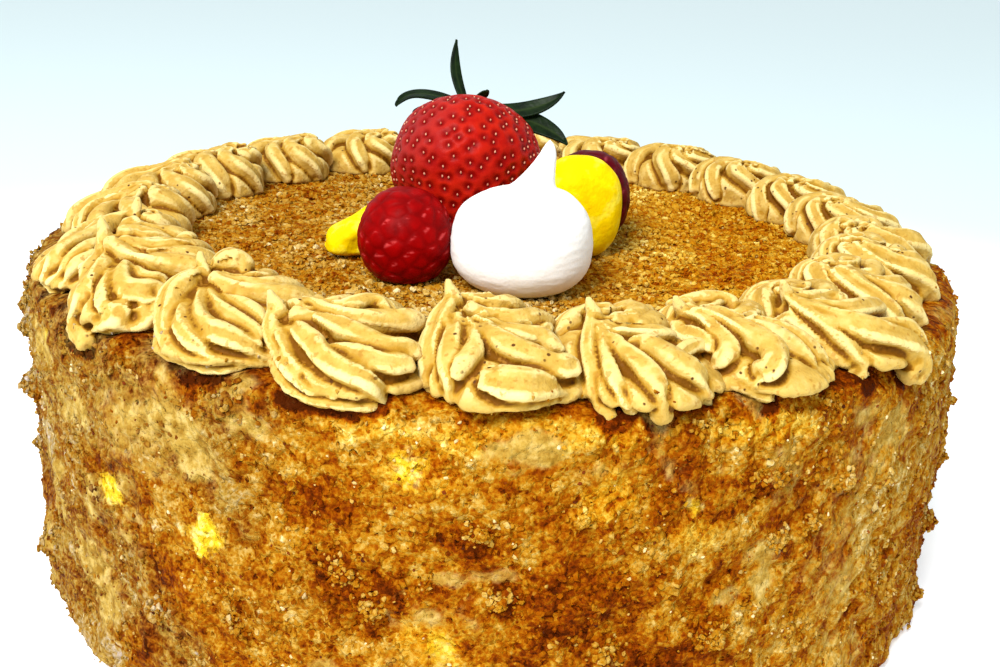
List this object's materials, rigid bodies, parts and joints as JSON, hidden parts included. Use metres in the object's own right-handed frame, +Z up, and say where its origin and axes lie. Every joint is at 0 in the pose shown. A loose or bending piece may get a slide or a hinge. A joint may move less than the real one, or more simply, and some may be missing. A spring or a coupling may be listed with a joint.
{
  "type": "krantz cake",
  "caption": "Whole round crumb-coated cake with a border of piped cream dollops and a small cluster of fruit and a meringue kiss on top.",
  "frame": {"origin": "centre of the flat underside of the cake", "axes": "+Z up through the cake; -Y is the side seen in the picture and +X is its right"},
  "size_m": [0.2107, 0.2106, 0.1178],
  "materials": {
    "crumb_coat": "matte, granular",
    "cream": "satin",
    "strawberry_flesh": "semi-gloss",
    "leaf": "satin",
    "raspberry_flesh": "waxy",
    "mango_flesh": "satin",
    "meringue": "matte"
  },
  "bodies": {
    "root": {"cake_body": "crumb_coat", "cream_dollop_01": "cream", "cream_dollop_02": "cream", "cream_dollop_03": "cream", "cream_dollop_04": "cream", "cream_dollop_05": "cream", "cream_dollop_06": "cream", "cream_dollop_07": "cream", "cream_dollop_08": "cream", "cream_dollop_09": "cream", "cream_dollop_10": "cream", "cream_dollop_11": "cream", "cream_dollop_12": "cream", "cream_dollop_13": "cream", "cream_dollop_14": "cream", "cream_dollop_15": "cream", "cream_dollop_16": "cream", "cream_dollop_17": "cream", "cream_dollop_18": "cream", "cream_dollop_19": "cream", "cream_dollop_20": "cream", "cream_dollop_21": "cream", "cream_dollop_22": "cream", "cream_dollop_23": "cream", "strawberry": "strawberry_flesh", "strawberry_calyx": "leaf", "raspberry_front": "raspberry_flesh", "raspberry_back": "raspberry_flesh", "meringue_kiss": "meringue", "mango_right": "mango_flesh", "mango_left": "mango_flesh"}
  },
  "joints": []
}
